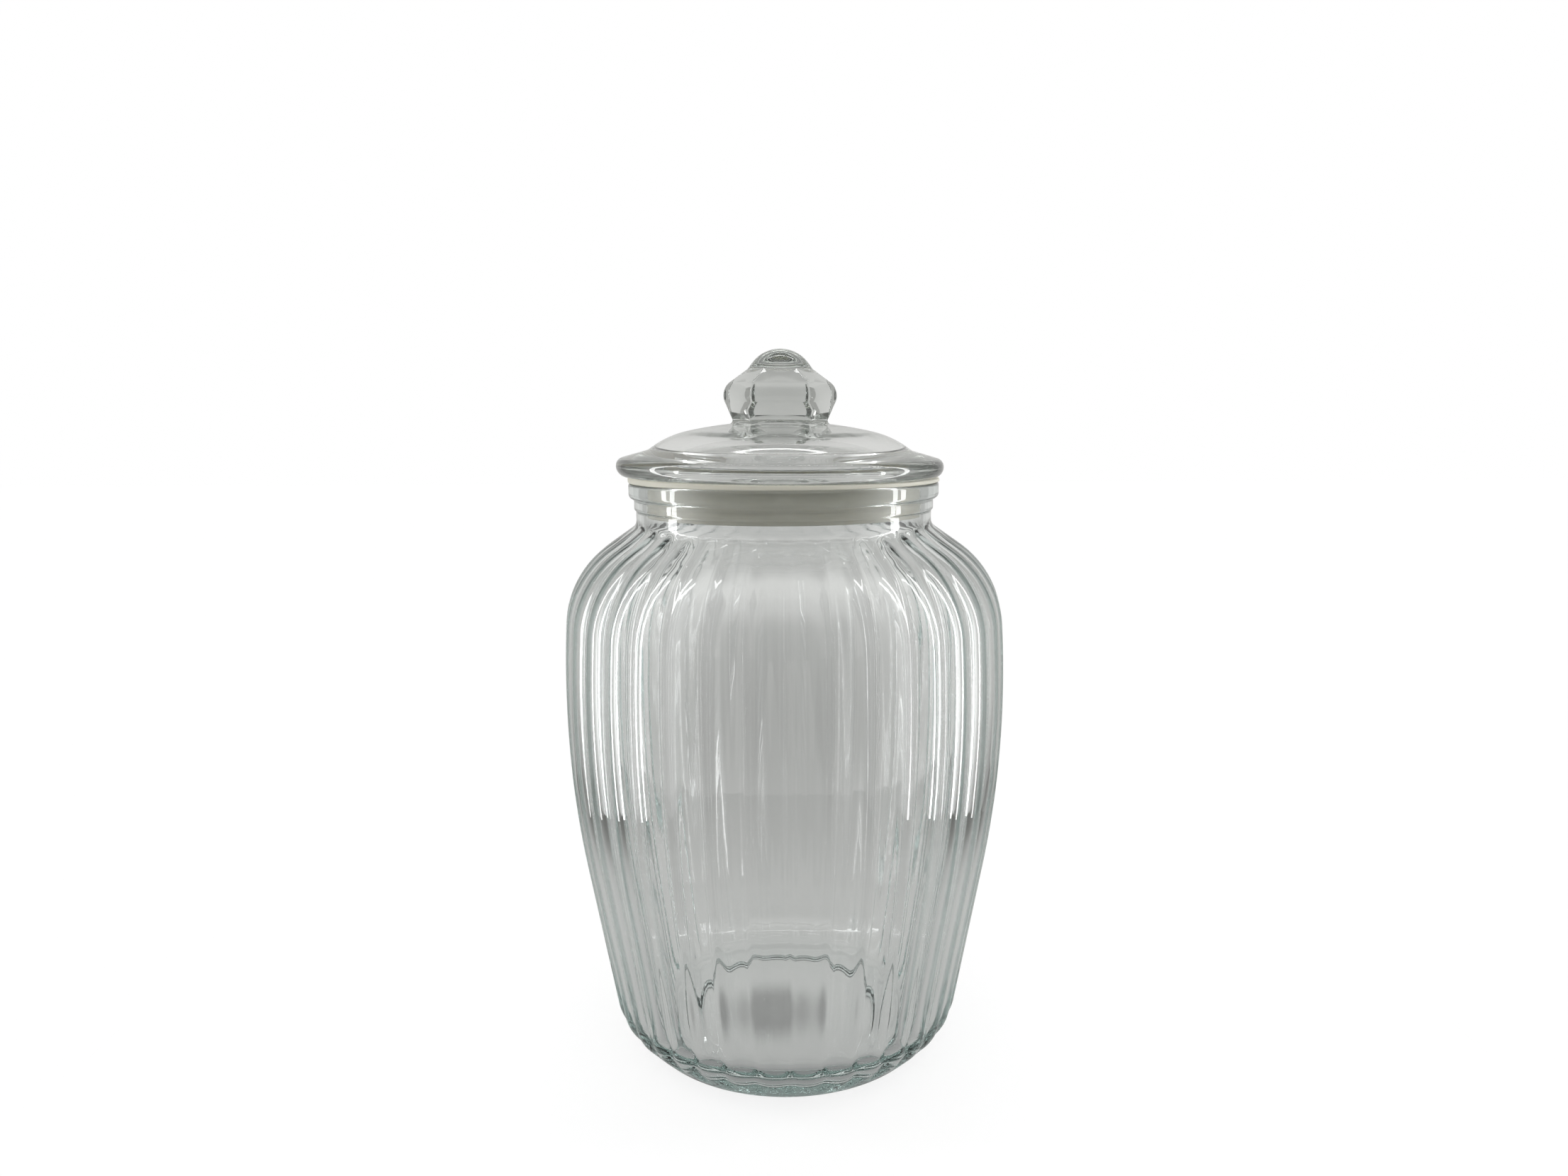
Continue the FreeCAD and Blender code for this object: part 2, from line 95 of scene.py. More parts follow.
# --- outlines and turned pieces --------------------------------------------------------------
class Line:
    """An outline in (radius, height) that knows which way its surface faces, in degrees above level."""

    def __init__(self, radius, height, facing):
        self.stops = [Vector((radius, height))]
        self.facing = facing

    def curl(self, arc, facing, grain=4.0):
        """A round stretch until the surface faces anew: bulging for a positive arc, else hollow. Its steps
        are up to a grain in millimetres and two in degrees."""
        start, end = math.radians(self.facing), math.radians(facing)
        centre = self.stops[-1] - arc * Vector((math.cos(start), math.sin(start)))
        steps = max(2, math.ceil(abs(end - start) / min(math.radians(grain * 2), grain / abs(arc))))
        for i in range(1, steps + 1):
            turn = start + (end - start) * i / steps
            self.stops.append(centre + arc * Vector((math.cos(turn), math.sin(turn))))
        self.facing = facing

    def run(self, radius=None, height=None, grain=6.0):
        """A straight stretch on to a radius or a height."""
        way = self.way()
        here = self.stops[-1]
        reach = (radius - here.x) / way.x if height is None else (height - here.y) / way.y
        steps = max(1, math.ceil(abs(reach) / grain))
        self.stops += [here + way * (reach * i / steps) for i in range(1, steps + 1)]

    def meet(self, arc, radius, height, facing):
        """A straight stretch and a round, on to the line through (radius, height) that faces so."""
        way = self.way()
        across = Vector((math.cos(math.radians(facing)), math.sin(math.radians(facing))))
        reach = (Vector((radius, height)) - self.stops[-1]).dot(across) / way.dot(across)
        trim = abs(arc) * math.tan(math.radians(abs(facing - self.facing)) / 2)
        end = self.stops[-1] + way * (reach - math.copysign(trim, reach))
        if abs(way.x) > abs(way.y):
            self.run(radius=end.x)
        else:
            self.run(height=end.y)
        self.curl(arc, facing)

    def way(self):
        """The direction in which the outline goes on: a quarter turn left of where it faces."""
        return Vector((-math.sin(math.radians(self.facing)), math.cos(math.radians(self.facing))))


def smooth(share):
    """Ease a share in and out, between 0 and 1."""
    share = min(max(share, 0.0), 1.0)
    return share * share * (3.0 - 2.0 * share)


def turned(outline, steps, closed, marks=None):
    """Spin an outline about Z into one closed shell. marks gives each stop a number that its ring keeps."""
    shell = bmesh.new()
    mark = shell.verts.layers.float.new("mark")
    ring = []
    for i, (radius, height) in enumerate(outline):
        vert = shell.verts.new((radius * MM, 0.0, height * MM))
        vert[mark] = marks[i] if marks else 0.0
        ring.append(vert)
    for first, second in zip(ring, ring[1:] + (ring[:1] if closed else [])):
        if first is not second:
            shell.edges.new((first, second))
    bmesh.ops.spin(shell, geom=shell.verts[:] + shell.edges[:], cent=(0, 0, 0), axis=(0, 0, 1),
                   dvec=(0, 0, 0), angle=math.tau, steps=steps, use_merge=True, use_duplicate=False)
    bmesh.ops.remove_doubles(shell, verts=shell.verts[:], dist=0.01 * MM)
    bmesh.ops.recalc_face_normals(shell, faces=shell.faces[:])
    return shell, mark


def finished(name, shell, material, node):
    """Make a shell the smooth, visible piece that stands in for a CAD node."""
    mesh = bpy.data.meshes.new(name)
    for face in shell.faces:
        face.smooth = True
    shell.to_mesh(mesh)
    shell.free()
    mesh.materials.append(material)
    piece = bpy.data.objects.new(name, mesh)
    bpy.context.scene.collection.objects.link(piece)
    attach(piece, "root")
    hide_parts(node)


# --- materials -------------------------------------------------------------------------------
def linear(hexcode):
    """An sRGB hex colour as the linear colour that nodes take."""
    parts = [int(hexcode[i:i + 2], 16) / 255 for i in (1, 3, 5)]
    return [p / 12.92 if p <= 0.04045 else ((p + 0.055) / 1.055) ** 2.4 for p in parts] + [1.0]


def add(tree, kind, settings=None, links=None, stops=()):
    """Add a node. settings are its own fields or its inputs' values, links are sockets to join,
    and stops are a smooth ramp's places and colours."""
    made = tree.nodes.new("ShaderNode" + kind)
    for key, value in (settings or {}).items():
        if isinstance(key, str) and hasattr(made, key):
            setattr(made, key, value)
        else:
            made.inputs[key].default_value = value
    for key, socket in (links or {}).items():
        tree.links.new(socket, made.inputs[key])
    if stops:
        made.color_ramp.interpolation = "B_SPLINE"
    for i, (place, colour) in enumerate(stops):
        elements = made.color_ramp.elements
        stop = elements[i] if i < 2 else elements.new(place)
        stop.position, stop.color = place, linear(colour)
    return made


def new_material(name):
    """An empty node material and its tree."""
    material = bpy.data.materials.new(name)
    material.use_nodes = True
    material.node_tree.nodes.clear()
    return material, material.node_tree


# Hairlines in the blown glass, in millimetres: their width and their patches' round the body, and the
# height over which they come and go. HAIR_DRAW slows the pattern upward, so a hair is 200 mm long.
HAIR_WIDTH, PATCH_WIDTH, HAIR_RANGE, HAIR_DRAW = 0.771, 10.28, 250.0, 0.04


def blown_glass():
    """Soda-lime glass blown in a ribbed mould: faintly teal where it is thick, with upright hairlines
    under 1 mm wide in patches, where the hot glass was drawn down the iron, and an 18 mm swell."""
    material, tree = new_material("soda_lime_glass_blown")
    place = add(tree, "TexCoord").outputs["Object"]
    height = add(tree, "SeparateXYZ", None, {0: place})
    level = add(tree, "VectorMath", {"operation": "MULTIPLY", 1: (1.0, 1.0, 0.0)}, {0: place})
    around = add(tree, "VectorMath", {"operation": "NORMALIZE"}, {0: level.outputs[0]})
    drawn = add(tree, "VectorMath", {"operation": "MULTIPLY_ADD", 1: (0.0, 0.0, HAIR_DRAW)},
                {0: place, 2: around.outputs[0]})
    hairs = add(tree, "TexNoise", {"Scale": BODY_R / HAIR_WIDTH, "Detail": 3.0, "Roughness": 0.6},
                {"Vector": drawn.outputs[0]})
    patches = add(tree, "TexNoise", {"Scale": BODY_R / PATCH_WIDTH, "Detail": 1.0},
                  {"Vector": drawn.outputs[0]})
    patchy = add(tree, "MapRange", {"From Min": 0.45, "From Max": 0.62}, {"Value": patches.outputs["Fac"]})
    up = add(tree, "MapRange", {"From Max": HAIR_RANGE * MM}, {"Value": height.outputs["Z"]})
    belly = add(tree, "ValToRGB", None, {"Fac": up.outputs[0]},
                [(0.10, "#000000"), (0.20, "#FFFFFF"), (0.78, "#FFFFFF"), (0.84, "#000000")])
    share = add(tree, "Math", {"operation": "MULTIPLY"}, {0: belly.outputs["Color"], 1: patchy.outputs[0]})
    fine = add(tree, "Bump", {"Distance": 0.006 * MM},
               {"Height": hairs.outputs["Fac"], "Strength": share.outputs[0]})
    swell = add(tree, "TexNoise", {"Scale": 1.0 / (18.0 * MM), "Detail": 1.0}, {"Vector": place})
    relief = add(tree, "Bump", {"Strength": 1.0, "Distance": 0.05 * MM},
                 {"Height": swell.outputs["Fac"], "Normal": fine.outputs[0]})
    glass = add(tree, "BsdfPrincipled", {"Base Color": linear("#FFFFFF"), "Roughness": 0.0,
                                         "IOR": 1.52, "Transmission Weight": 1.0},
                {"Normal": relief.outputs[0]})
    depth = add(tree, "VolumeAbsorption", {"Color": linear("#6FA79F"), "Density": 9.0})
    add(tree, "OutputMaterial", None, {"Surface": glass.outputs[0], "Volume": depth.outputs[0]})
    return material


def pressed_glass():
    """Soda-lime glass pressed in an iron mould: greyer, with a 14 mm swell in its surface."""
    material, tree = new_material("soda_lime_glass_pressed")
    place = add(tree, "TexCoord")
    swell = add(tree, "TexNoise", {"Scale": 1.0 / (14.0 * MM), "Detail": 1.0},
                {"Vector": place.outputs["Object"]})
    relief = add(tree, "Bump", {"Strength": 1.0, "Distance": 0.04 * MM},
                 {"Height": swell.outputs["Fac"]})
    glass = add(tree, "BsdfPrincipled", {"Base Color": linear("#FFFFFF"), "Roughness": 0.0,
                                         "IOR": 1.52, "Transmission Weight": 1.0},
                {"Normal": relief.outputs[0]})
    depth = add(tree, "VolumeAbsorption", {"Color": linear("#87948A"), "Density": 11.0})
    add(tree, "OutputMaterial", None, {"Surface": glass.outputs[0], "Volume": depth.outputs[0]})
    return material


def seal_rubber():
    """Natural silicone rubber, moulded: milky cream in 11 mm clouds and satin with a 0.4 mm grain,
    with light going a little way in."""
    material, tree = new_material("silicone_rubber_moulded")
    place = add(tree, "TexCoord")
    cloud = add(tree, "TexNoise", {"Scale": 1.0 / (11.0 * MM), "Detail": 3.0},
                {"Vector": place.outputs["Object"]})
    milk = add(tree, "ValToRGB", None, {"Fac": cloud.outputs["Fac"]}, [(0.0, "#CFCDC0"), (1.0, "#DBD9CD")])
    grain = add(tree, "TexNoise", {"Scale": 1.0 / (0.4 * MM), "Detail": 2.0},
                {"Vector": place.outputs["Object"]})
    relief = add(tree, "Bump", {"Strength": 0.6, "Distance": 0.02 * MM},
                 {"Height": grain.outputs["Fac"]})
    rubber = add(tree, "BsdfPrincipled", {"Roughness": 0.45, "IOR": 1.41, "Subsurface Weight": 0.3,
                                          "Subsurface Radius": (0.003, 0.0028, 0.0024),
                                          "Subsurface Scale": 1.0},
                 {"Base Color": milk.outputs["Color"], "Normal": relief.outputs[0]})
    add(tree, "OutputMaterial", None, {"Surface": rubber.outputs[0]})
    return material


# --- jar -------------------------------------------------------------------------------------
def jar_outline():
    """The whole section, as the outside from the axis under the foot up to the lip, and the inside from the
    mouth down to the axis on the floor."""
    side_lean = math.degrees(math.asin((SHOULDER_Z - BELLY_Z) / BELLY_ARC))

    foot = Line(BODY_R, BELLY_Z, 0.0)
    foot.curl(BELLY_ARC, -TAPER, 6.0)
    foot.run(height=HEEL_Z)
    foot.curl(HEEL_ARC, -HEEL_LEAN, 2.0)
    foot.run(height=FOOT_ROUND * (1.0 - math.sin(math.radians(HEEL_LEAN))), grain=1.5)
    foot.curl(FOOT_ROUND, -90.0)
    foot.run(radius=FOOT_RING)
    hollow = FOOT_RECESS / (1.0 - math.cos(math.radians(RECESS_LEAN))) - RING_ROUND
    foot.curl(RING_ROUND, -90.0 - RECESS_LEAN)
    foot.curl(-hollow, -90.0)
    foot.run(radius=0.0, grain=FLAT_GRAIN)

    neck = Line(BODY_R, BELLY_Z, 0.0)
    neck.curl(BELLY_ARC, side_lean, 5.0)
    neck.curl(SHOULDER_ARC, SLOPE, 2.0)
    neck.meet(-NECK_FILLET, NECK_R, BEAD_Z, 0.0)
    neck.run(height=BEAD_Z - BEAD_STEP)
    neck.curl(BEAD_ROUND - (BEAD_R - NECK_R) / (1.0 - math.cos(math.radians(BEAD_LEAN))), -BEAD_LEAN)
    neck.curl(BEAD_ROUND, 0.0)
    neck.run(height=LIP_Z - LIP_STEP)
    neck.curl(LIP_ROUND - (LIP_R - BEAD_R) / (1.0 - math.cos(math.radians(LIP_LEAN))), -LIP_LEAN)
    neck.curl(LIP_ROUND, 0.0)
    neck.run(height=jar_high.z - LIP_EDGE)
    neck.curl(LIP_EDGE, 90.0)
    neck.run(radius=MOUTH_R + MOUTH_EDGE)
    neck.curl(MOUTH_EDGE, 180.0)

    mouth = Line(BODY_R - WALL, BELLY_Z, 0.0)
    mouth.curl(BELLY_ARC - WALL, side_lean, 5.0)
    mouth.curl(SHOULDER_ARC - WALL, SLOPE, 2.5)
    mouth.meet(-NECK_FILLET - WALL, MOUTH_R, BEAD_Z, 0.0)
    mouth.run(height=jar_high.z - 1.5 * MOUTH_EDGE)

    floor = Line(BODY_R - WALL, BELLY_Z, 0.0)
    floor.curl(BELLY_ARC - WALL, -TAPER, 6.0)
    floor.meet(FLOOR_ARC, 0.0, FLOOR_Z, -90.0)
    floor.run(radius=0.0, grain=FLAT_GRAIN)

    outside = foot.stops[::-1] + neck.stops[1:]
    inside = mouth.stops[::-1] + floor.stops[1:]
    return outside, inside


def rib_depth(height):
    """Depth of the valleys between the ribs, which fade out at the neck and just above the foot."""
    slope = math.radians(SLOPE)
    slope_z = SHOULDER_Z + SHOULDER_ARC * (math.sin(slope) - (SHOULDER_Z - BELLY_Z) / BELLY_ARC)
    slope_r = BODY_R - SHOULDER_ARC * (1.0 - math.cos(slope))
    neck_z = slope_z + (slope_r - NECK_R) / math.tan(slope)
    upper = min(max((neck_z - RIB_ROOT - height) / RIB_FADE, 0.0), 1.0)
    lower = smooth((height - RIB_END_Z) / (RIB_FULL_Z - RIB_END_Z))
    return RIB_DEPTH * min(upper, lower)


def make_jar():
    """Each ring's mark is its valleys' depth, below zero on the inside, which sags more softly."""
    outside, inside = jar_outline()
    marks = [rib_depth(z) if r > NECK_R - RIB_ROOT else 0.0 for r, z in outside]
    marks += [-INNER_SHARE * rib_depth(z) * smooth((z - INNER_LOW_Z) / INNER_FADE)
              if r > MOUTH_R + RIB_ROOT else 0.0 for r, z in inside]
    shell, mark = turned(outside + inside, RIBS * RIB_STEPS, False, marks)
    for vert in shell.verts:
        if vert[mark] != 0.0:
            radius = math.hypot(vert.co.x, vert.co.y)
            turn = math.degrees(math.atan2(vert.co.x, -vert.co.y)) - RIB_TURN
            across = (turn * RIBS / 360.0) % 1.0 * 2.0 - 1.0
            bow = across ** 2 if vert[mark] > 0.0 else 0.5 - 0.5 * math.cos(math.pi * across)
            share = 1.0 - abs(vert[mark]) * MM * bow / radius
            vert.co.x *= share
            vert.co.y *= share
    finished("jar_glass", shell, blown_glass(), "jar")


# --- seal ring -------------------------------------------------------------------------------
def make_seal():
    """A flange between lip and lid, and a skirt with two ridges that grip the mouth."""
    top, under, low = seal_high.z - SEAL_GAP, jar_high.z + SEAL_GAP, seal_low.z
    line = Line(SKIRT_INNER + SEAL_EDGE, top, 90.0)
    line.run(radius=SEAL_R - SEAL_EDGE)
    line.curl(SEAL_EDGE, 0.0)
    line.run(height=under + SEAL_EDGE)
    line.curl(SEAL_EDGE, -90.0)
    line.run(radius=SKIRT_R + SEAL_INNER_EDGE)
    line.curl(-SEAL_INNER_EDGE, 0.0)
    for level in (2, 1):
        line.run(height=low + RIDGE_STEP * level + RIDGE)
        line.facing = RIDGE_LEAN
        line.run(radius=SKIRT_R + RIDGE)
        line.facing = -RIDGE_LEAN
        line.run(radius=SKIRT_R)
        line.facing = 0.0
    line.run(height=low + SEAL_EDGE)
    line.curl(SEAL_EDGE, -90.0)
    line.run(radius=SKIRT_INNER + SEAL_EDGE)
    line.curl(SEAL_EDGE, -180.0)
    line.run(height=top - SEAL_EDGE)
    line.curl(SEAL_EDGE, -270.0)
    shell, _ = turned(line.stops[:-1], SEAL_STEPS, True)
    for vert in shell.verts:
        squeeze = smooth((vert.co.z / MM - under) / (top - under))
        vert.co.z -= vert.co.x * math.tan(LID_TILT) * squeeze
    finished("seal_ring", shell, seal_rubber(), "seal")


# --- lid -------------------------------------------------------------------------------------
def lid_outline():
    """The whole section, from the top of the cap, down the outside and back under the dome."""
    high = math.radians(KNOB_HIGH_LEAN)
    bulge = Vector((KNOB_R - KNOB_ARC, KNOB_Z))
    top_of_bulge = bulge + KNOB_ARC * Vector((math.cos(high), math.sin(high)))
    line = Line(0.0, lid_high.z, 90.0)
    line.curl(CAP_ARC, CAP_FACING, 1.0)
    line.meet(-CAP_FILLET, top_of_bulge.x, top_of_bulge.y, KNOB_HIGH_LEAN)
    line.run(radius=top_of_bulge.x, grain=1.0)
    line.curl(KNOB_ARC, -KNOB_LOW_LEAN, 1.0)
    root_facing, root_z = dome_spot(KNOB_ROOT_R)
    line.meet(-KNOB_FILLET, KNOB_ROOT_R, root_z, root_facing)

    edge_facing, _ = dome_spot(DOME_EDGE_R)
    line.curl(DOME_ARC, edge_facing, 2.0)
    line.curl(DOME_EDGE_ARC, 90.0 - DOME_LEAN, 1.5)
    dome_end = line.stops[-1]
    rim_lean = math.radians(RIM_LEAN)
    rim_top = Vector((RIM_R - RIM_ROUND + RIM_ROUND * math.sin(rim_lean),
                      RIM_Z + RIM_ROUND * math.cos(rim_lean)))
    line.meet(-RIM_FILLET, rim_top.x, rim_top.y, 90.0 - RIM_LEAN)
    line.run(radius=rim_top.x)
    line.curl(RIM_ROUND, 0.0, 1.0)
    line.curl(RIM_Z - seal_high.z, -90.0, 1.0)

    line.run(radius=PLUG_R + PLUG_FILLET)
    line.curl(-PLUG_FILLET, 0.0)
    line.run(height=lid_low.z + PLUG_ROUND)
    line.curl(PLUG_ROUND, -90.0)
    line.run(radius=PLUG_R - PLUG_WALL + PLUG_ROUND)
    line.curl(PLUG_ROUND, -180.0)
    lean = math.radians(90.0 - DOME_LEAN)
    under = dome_end - DOME_WALL * Vector((math.cos(lean), math.sin(lean)))
    line.meet(-DOME_FILLET, under.x, under.y, -90.0 - DOME_LEAN)
    line.run(radius=under.x)
    line.curl(-(DOME_EDGE_ARC - DOME_WALL), edge_facing - 180.0, 2.0)
    line.curl(-(DOME_ARC - DOME_WALL), -90.0, 3.0)
    return line.stops


def dome_spot(radius):
    """Which way the dome faces at a radius, and how high it is there."""
    facing = 90.0 - math.degrees(math.asin(radius / DOME_ARC))
    return facing, DOME_TOP - DOME_ARC + math.sqrt(DOME_ARC ** 2 - radius ** 2)


def facet_spot(angle, height):
    """How far a spot on the round outline turns, and its reach as a share of the corners' beside it."""
    corner = FACET_HALF + FACET_SPREAD * smooth((FACET_SPREAD_Z - height) / FACET_SPREAD_FADE)
    from_front = (angle + math.pi) % math.pi - math.pi / 2
    off = abs(from_front)
    if off <= FACET_HALF:
        half, middle = corner, 0.0
        turn = off / FACET_HALF * half
    else:
        half = (math.pi / 2 - corner) / 2
        middle = corner + half
        turn = corner + (off - FACET_HALF) / FACET_HALF * half
    aside = turn - middle
    reach = math.cos(half) / math.cos(aside) - FACET_HOLLOW * (1.0 - (aside / half) ** 2)
    return math.copysign(turn - off, from_front), reach


def cut_facets(shell):
    """Six flats from the knob's root up to its cap, whose round foot reaches down a little on each."""
    for vert in shell.verts:
        radius, height = math.hypot(vert.co.x, vert.co.y) / MM, vert.co.z / MM
        if radius > KNOB_R + FACET_MARGIN or not FACET_LOW_Z < height < CAP_SIDE_Z:
            continue
        share = smooth((height - FACET_LOW_Z) / (FACET_FULL_Z - FACET_LOW_Z))
        share *= min(max((CAP_FOOT_Z - height) / (CAP_FOOT_Z - FACET_TOP_Z), 0.0), 1.0)
        angle = math.atan2(vert.co.y, vert.co.x)
        shift, reach = facet_spot(angle, height)
        far = CAP_SIDE_Z if height > CAP_FOOT_Z else FACET_TOP_Z
        cut = (1.0 - reach) / (1.0 - math.cos(FACET_HALF))
        near_foot = max((height - far) / (CAP_FOOT_Z - far), 0.0) * cut
        radius = radius * (1.0 + (reach - 1.0) * share) + CAP_SPREAD * near_foot
        angle += shift * share
        height -= CAP_DIP * near_foot
        vert.co = Vector((radius * math.cos(angle), radius * math.sin(angle), height)) * MM


def make_lid():
    """Turned, cut and then laid askew on the seal."""
    shell, _ = turned(lid_outline(), LID_STEPS, False)
    cut_facets(shell)
    seat = Matrix.Translation((0.0, 0.0, seal_high.z * MM))
    askew = Matrix.Translation((LID_SHIFT * MM, 0.0, 0.0)) @ seat @ Matrix.Rotation(LID_TILT, 4, "Y")
    bmesh.ops.transform(shell, matrix=askew @ seat.inverted(), verts=shell.verts[:])
    finished("lid_glass", shell, pressed_glass(), "lid")


make_jar()
make_seal()
make_lid()


# --- studio ----------------------------------------------------------------------------------
# Half the light box's width and depth and its height, its tube lamps, and the eye, in metres and degrees.
BOX_X, BOX_Y, BOX_Z = 0.30, 0.30, 0.62
FLOOR_HALF, FLOOR_DROP = 4.0, 0.0001
TUBE_GAP, SIDE_TUBE, SIDE_TUBE_Y, SIDE_RADIANCE = 0.005, (0.025, 0.60), -0.02, 9.0
TOP_TUBE, TOP_TUBE_Y, TOP_RADIANCE = (0.36, 0.02), 0.08, 8.0
EYE, EYE_TIP, EYE_LEAN, EYE_LENS = (0.0, -0.4766, 0.268), 8.7, 0.28, 26.04
BOUNCES = 24


def seen_by(tree, camera, others):
    """Camera rays get the first shader and all others the second."""
    path = add(tree, "LightPath")
    return add(tree, "MixShader", None, {0: path.outputs["Is Camera Ray"], 1: others, 2: camera})


def make_floor():
    """Pressed card, white to the eye, with the jar's soft shadow. In the glass it glows with painted shade:
    greyer to the back, by the walls, in a band in front under the foot and in a soft patch under the jar's
    middle, which draws the thick base."""
    shell = bmesh.new()
    bmesh.ops.create_grid(shell, x_segments=1, y_segments=1, size=FLOOR_HALF)
    bmesh.ops.translate(shell, vec=(0.0, 0.0, -FLOOR_DROP), verts=shell.verts[:])
    material, tree = new_material("card_white_painted_shade")
    white = add(tree, "Emission", {"Color": linear("#FFFFFF"), "Strength": 0.80})
    lit = add(tree, "BsdfDiffuse", {"Color": linear("#7C7C7C")})
    page = add(tree, "AddShader", None, {0: white.outputs[0], 1: lit.outputs[0]})
    place = add(tree, "TexCoord").outputs["Object"]
    parts = add(tree, "SeparateXYZ", None, {0: place})
    depth = add(tree, "MapRange", {"From Min": -0.12, "From Max": BOX_Y}, {"Value": parts.outputs["Y"]})
    # Painted shade: a dark band by the front of the foot, and greyer toward the back wall.
    back = add(tree, "ValToRGB", None, {"Fac": depth.outputs[0]},
               [(0.0, "#C3C3C1"), (0.05, "#888888"), (0.14, "#888888"), (0.2, "#C3C3C1"), (0.5, "#C5C5C3"),
                (0.66, "#BEBEBC"), (0.8, "#B8B8B6"), (1.0, "#B2B2B0")])
    # Painted shade: the floor darkens by the side walls.
    off = add(tree, "Math", {"operation": "ABSOLUTE"}, {0: parts.outputs["X"]})
    across = add(tree, "MapRange", {"From Max": BOX_X}, {"Value": off.outputs[0]})
    painted_wall_shade = add(tree, "ValToRGB", None, {"Fac": across.outputs[0]},
               [(0.0, "#EEEEEE"), (0.5, "#FFFFFF"), (0.70, "#F0F0F0"), (0.86, "#989896"), (1.0, "#8A8A88")])
    # Painted shadow: a soft darker patch under the jar's middle, 6 mm left of its axis.
    from_axis = add(tree, "VectorMath", {"operation": "DISTANCE", 1: (-0.006, 0.0, 0.0)}, {0: place})
    under = add(tree, "MapRange", {"interpolation_type": "SMOOTHSTEP", "From Min": 0.010, "From Max": 0.03,
                                   "To Min": 0.5, "To Max": 1.05}, {"Value": from_axis.outputs["Value"]})
    painted_floor_shade = add(tree, "VectorMath", {"operation": "MULTIPLY"},
               {0: back.outputs["Color"], 1: painted_wall_shade.outputs["Color"]})
    painted_light_and_shade = add(tree, "Emission", None, {"Color": painted_floor_shade.outputs[0], "Strength": under.outputs[0]})
    seen = seen_by(tree, page.outputs[0], painted_light_and_shade.outputs[0])
    add(tree, "OutputMaterial", None, {"Surface": seen.outputs[0]})
    staged("floor", shell, [material])


def staged(name, shell, materials):
    """Make a shell a piece of the studio, which isn't part of the object."""
    mesh = bpy.data.meshes.new(name)
    shell.to_mesh(mesh)
    shell.free()
    for material in materials:
        mesh.materials.append(material)
    piece = bpy.data.objects.new(name, mesh)
    bpy.context.scene.collection.objects.link(piece)
    return piece


def back_wall():
    """Woven nylon behind the jar, glowing with painted light and shade: grey in the middle, lighter to the
    sides, which draws the ribs, and darker low down.
    """
    material, tree = new_material("nylon_back_painted_light")
    parts = add(tree, "SeparateXYZ", None, {0: add(tree, "TexCoord").outputs["Object"]})
    # Painted shade low on the wall by the floor, lighter upward.
    height = add(tree, "MapRange", {"From Max": BOX_Z}, {"Value": parts.outputs["Z"]})
    grey = add(tree, "ValToRGB", None, {"Fac": height.outputs[0]},
               [(0.0, "#B5B5B3"), (0.08, "#ABABA9"), (0.16, "#B2B2B0"), (0.24, "#BFBFBD"),
                (0.33, "#C3C3C1"), (0.5, "#D0D0CE")])
    # Painted light: lighter toward the side walls and their tube lamps.
    off = add(tree, "Math", {"operation": "ABSOLUTE"}, {0: parts.outputs["X"]})
    side = add(tree, "MapRange", {"interpolation_type": "SMOOTHSTEP", "From Min": 0.02, "From Max": 0.13,
                                  "To Min": 1.0, "To Max": 1.22}, {"Value": off.outputs[0]})
    painted_light_and_shade = add(tree, "Emission", None, {"Color": grey.outputs["Color"], "Strength": side.outputs[0]})
    add(tree, "OutputMaterial", None, {"Surface": painted_light_and_shade.outputs[0]})
    return material


def side_wall():
    """Woven nylon glowing with the tube lamps' light painted on it, and painted shade low down, which gives
    the outer ribs their pale streaks.
    """
    material, tree = new_material("nylon_sides_painted_light")
    parts = add(tree, "SeparateXYZ", None, {0: add(tree, "TexCoord").outputs["Object"]})
    # Painted light from the tube lamps: brightest beside them, falling off to the front and back.
    depth = add(tree, "MapRange", {"From Min": -BOX_Y, "From Max": BOX_Y}, {"Value": parts.outputs["Y"]})
    painted_light_falloff = add(tree, "ValToRGB", None, {"Fac": depth.outputs[0]},
               [(0.0, "#545454"), (0.17, "#999999"), (0.30, "#D6D6D6"), (0.45, "#FFFFFF"),
                (0.50, "#F0F0F0"), (0.56, "#B0B0AE"), (0.66, "#868684"), (1.0, "#868684")])
    # Painted shade: the wall glows less down by the floor.
    foot = add(tree, "MapRange", {"interpolation_type": "SMOOTHSTEP", "From Max": 0.11,
                                  "To Min": 1.1, "To Max": 1.9}, {"Value": parts.outputs["Z"]})
    painted_light_and_shade = add(tree, "Emission", None, {"Color": painted_light_falloff.outputs["Color"], "Strength": foot.outputs[0]})
    add(tree, "OutputMaterial", None, {"Surface": painted_light_and_shade.outputs[0]})
    return material


def ceiling():
    """Woven nylon glowing with painted light, bright over the open front, which gives the shoulder its
    sheen, and dim behind.
    """
    material, tree = new_material("nylon_top_painted_light")
    parts = add(tree, "SeparateXYZ", None, {0: add(tree, "TexCoord").outputs["Object"]})
    # Painted light: bright over the open front, dim behind.
    painted_light_falloff = add(tree, "MapRange", {"interpolation_type": "SMOOTHERSTEP", "From Min": -0.17, "From Max": 0.04,
                                  "To Min": 2.2, "To Max": 0.45}, {"Value": parts.outputs["Y"]})
    painted_light_and_shade = add(tree, "Emission", {"Color": linear("#FFFFFC")}, {"Strength": painted_light_falloff.outputs[0]})
    add(tree, "OutputMaterial", None, {"Surface": painted_light_and_shade.outputs[0]})
    return material


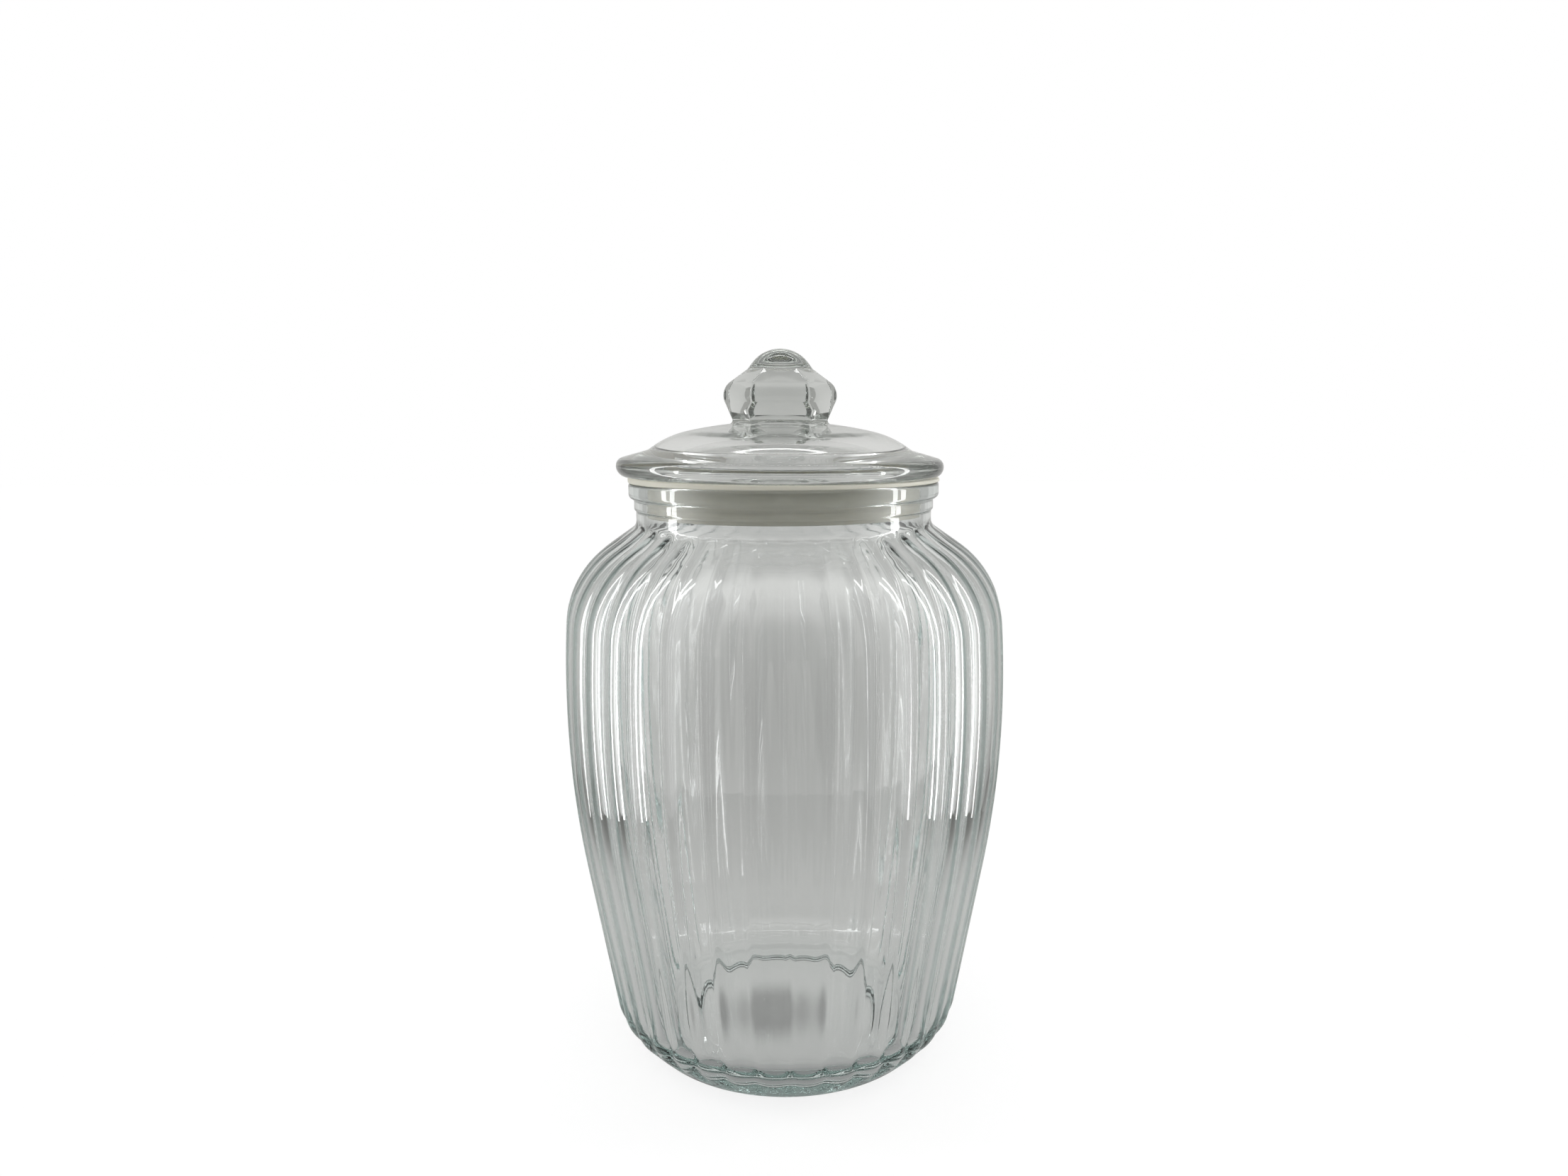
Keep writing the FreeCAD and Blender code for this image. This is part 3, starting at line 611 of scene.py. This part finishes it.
def make_light_box():
    """A fabric light box, open to the front, that only rays off or through the glass meet. Its walls and
    top glow with painted light and shade.
    """
    shell = bmesh.new()
    bmesh.ops.create_cube(shell, size=1.0)
    bmesh.ops.scale(shell, vec=(2 * BOX_X, 2 * BOX_Y, BOX_Z), verts=shell.verts[:])
    bmesh.ops.translate(shell, vec=(0.0, 0.0, BOX_Z / 2), verts=shell.verts[:])
    shell.normal_update()
    open_faces = [face for face in shell.faces if face.normal.y < -0.5 or face.normal.z < -0.5]
    bmesh.ops.delete(shell, geom=open_faces, context="FACES_ONLY")
    for face in shell.faces:
        face.material_index = 0 if face.normal.y > 0.5 else 1 if face.normal.z < 0.5 else 2
    box = staged("light_box", shell, [back_wall(), side_wall(), ceiling()])
    box.visible_camera = box.visible_diffuse = box.visible_shadow = False


def make_world():
    """White to the eye and to matt surfaces. The glass shows a room, dark ahead and bright above."""
    world = bpy.data.worlds.new("studio")
    world.use_nodes = True
    tree = world.node_tree
    tree.nodes.clear()
    parts = add(tree, "SeparateXYZ", None, {0: add(tree, "TexCoord").outputs["Generated"]})
    ahead = add(tree, "MapRange", {"From Min": -1.0}, {"Value": parts.outputs["Y"]})
    beside = add(tree, "ValToRGB", None, {"Fac": ahead.outputs[0]},
                 [(0.0, "#5A5C5A"), (0.08, "#626462"), (0.18, "#E6E6E4"), (0.5, "#E6E6E4"),
                  (0.7, "#B4B4B2")])
    above = add(tree, "MapRange", {"interpolation_type": "SMOOTHSTEP", "From Min": 0.35, "From Max": 0.85,
                                   "To Min": 1.0, "To Max": 2.4}, {"Value": parts.outputs["Z"]})
    room = add(tree, "Background", None, {"Color": beside.outputs["Color"], "Strength": above.outputs[0]})
    page = add(tree, "Background", {"Color": linear("#FFFFFF")})
    path = add(tree, "LightPath")
    matt = add(tree, "MixShader", None, {0: path.outputs["Diffuse Depth"], 1: room.outputs[0],
                                         2: page.outputs[0]})
    add(tree, "OutputWorld", None, {"Surface": seen_by(tree, page.outputs[0], matt.outputs[0]).outputs[0]})
    bpy.context.scene.world = world


def soft_lamp(name, place, aim, size, radiance):
    """An even, square-cornered lamp that the eye doesn't see."""
    lamp = bpy.data.lights.new(name, "AREA")
    lamp.shape = "RECTANGLE"
    lamp.size, lamp.size_y = size
    lamp.energy = radiance * math.pi * lamp.size * lamp.size_y
    held = bpy.data.objects.new(name, lamp)
    held.location = place
    held.rotation_euler = (Vector(aim) - Vector(place)).to_track_quat("-Z", "Y").to_euler()
    held.visible_camera = False
    bpy.context.scene.collection.objects.link(held)


def make_lamps():
    """A tube lamp up each side wall and one across the top."""
    middle = (0.0, SIDE_TUBE_Y, SIDE_TUBE[1] / 2)
    for name, side in (("tube_left", -1), ("tube_right", 1)):
        place = (side * (BOX_X - TUBE_GAP), SIDE_TUBE_Y, middle[2])
        soft_lamp(name, place, middle, SIDE_TUBE, SIDE_RADIANCE)
    soft_lamp("tube_top", (0.0, TOP_TUBE_Y, BOX_Z - 2 * TUBE_GAP), (0.0, TOP_TUBE_Y, 0.0),
              TOP_TUBE, TOP_RADIANCE)


def make_camera():
    """Level with the lid, close to the jar, looking down at its middle."""
    view = bpy.data.cameras.new("camera")
    view.lens, view.sensor_width = EYE_LENS, 36.0
    tip = Matrix.Rotation(math.radians(90.0 - EYE_TIP), 4, "X")
    eye = bpy.data.objects.new("camera", view)
    eye.matrix_world = Matrix.Translation(EYE) @ tip @ Matrix.Rotation(math.radians(-EYE_LEAN), 4, "Z")
    bpy.context.scene.collection.objects.link(eye)
    bpy.context.scene.camera = eye


make_floor()
make_light_box()
make_world()
make_lamps()
make_camera()
bpy.context.scene.view_settings.view_transform = "Standard"
cycles = bpy.context.scene.cycles
cycles.max_bounces = cycles.transmission_bounces = cycles.glossy_bounces = BOUNCES
